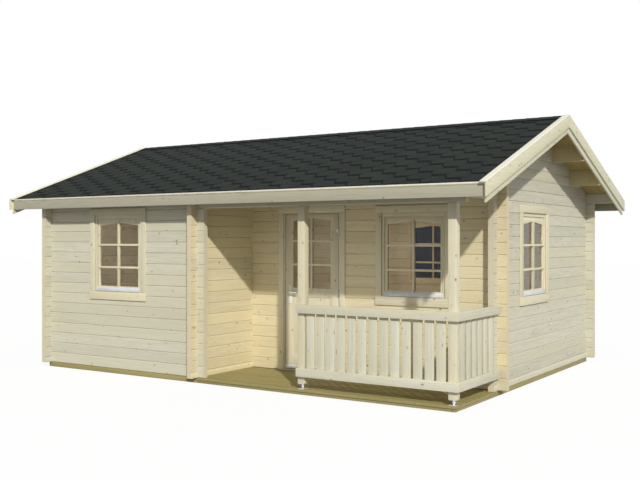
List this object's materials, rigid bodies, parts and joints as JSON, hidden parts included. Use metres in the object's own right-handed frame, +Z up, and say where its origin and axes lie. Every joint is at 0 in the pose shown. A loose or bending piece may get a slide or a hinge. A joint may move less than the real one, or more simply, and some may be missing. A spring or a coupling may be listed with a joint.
{
  "type": "log cabin",
  "caption": "Log cabin of squared interlocking logs with a low gable roof, a covered corner terrace with balustrade, a hinged glazed door and arched casement windows.",
  "frame": {"origin": "on the ground, under the middle of the cabin", "axes": "+X along the ridge towards the gable beside the terrace, +Y from the front to the back, +Z up"},
  "size_m": [6.9, 5.052, 3.1919],
  "materials": {
    "treated_wood": "matt",
    "floor_wood": "matt",
    "log_wood": "planed",
    "roof_wood": "planed",
    "shingle": "mineral grit",
    "metal": "satin",
    "rail_wood": "planed",
    "joinery_wood": "planed",
    "glass": "clear"
  },
  "bodies": {
    "cabin": {"base_frame": "treated_wood", "terrace_deck": "treated_wood", "floor_plates": "floor_wood", "front_wall_logs": "log_wood", "eave_logs": "log_wood", "partition_logs": "log_wood", "recess_left_logs": "log_wood", "recess_right_logs": "log_wood", "recess_lintel_logs": "log_wood", "right_gable_logs": "log_wood", "left_gable_logs": "log_wood", "back_wall_logs": "log_wood", "porch_posts": "log_wood", "roof_purlins": "roof_wood", "front_roof_boards": "roof_wood", "back_roof_boards": "roof_wood", "eave_fascias": "roof_wood", "left_verge_boards": "roof_wood", "right_verge_boards": "roof_wood", "verge_caps": "roof_wood", "front_shingles": "shingle", "back_shingles": "shingle", "post_feet": "metal", "frame_hinges": "metal", "front_rails": "rail_wood", "side_rails": "rail_wood", "front_balusters": "rail_wood", "side_balusters": "rail_wood", "door_frame": "joinery_wood", "door_casing": "joinery_wood", "front_window_frame": "joinery_wood", "recess_window_frame": "joinery_wood", "gable_window_frame": "joinery_wood", "back_window_frame": "joinery_wood", "front_window_sash": "joinery_wood", "recess_window_sash": "joinery_wood", "gable_window_sash": "joinery_wood", "back_window_sash": "joinery_wood", "window_casings": "joinery_wood", "window_panes": "glass"},
    "door": {"door_leaf": "joinery_wood", "door_glass": "glass", "door_handle": "metal", "leaf_hinges": "metal"}
  },
  "joints": [
    {"name": "door_hinge", "type": "hinge", "parent": "cabin", "child": "door", "pos_m": [0.969, -1.154, 1.064], "axis": [0, 0, 1], "range_deg": [0, 105]}
  ]
}
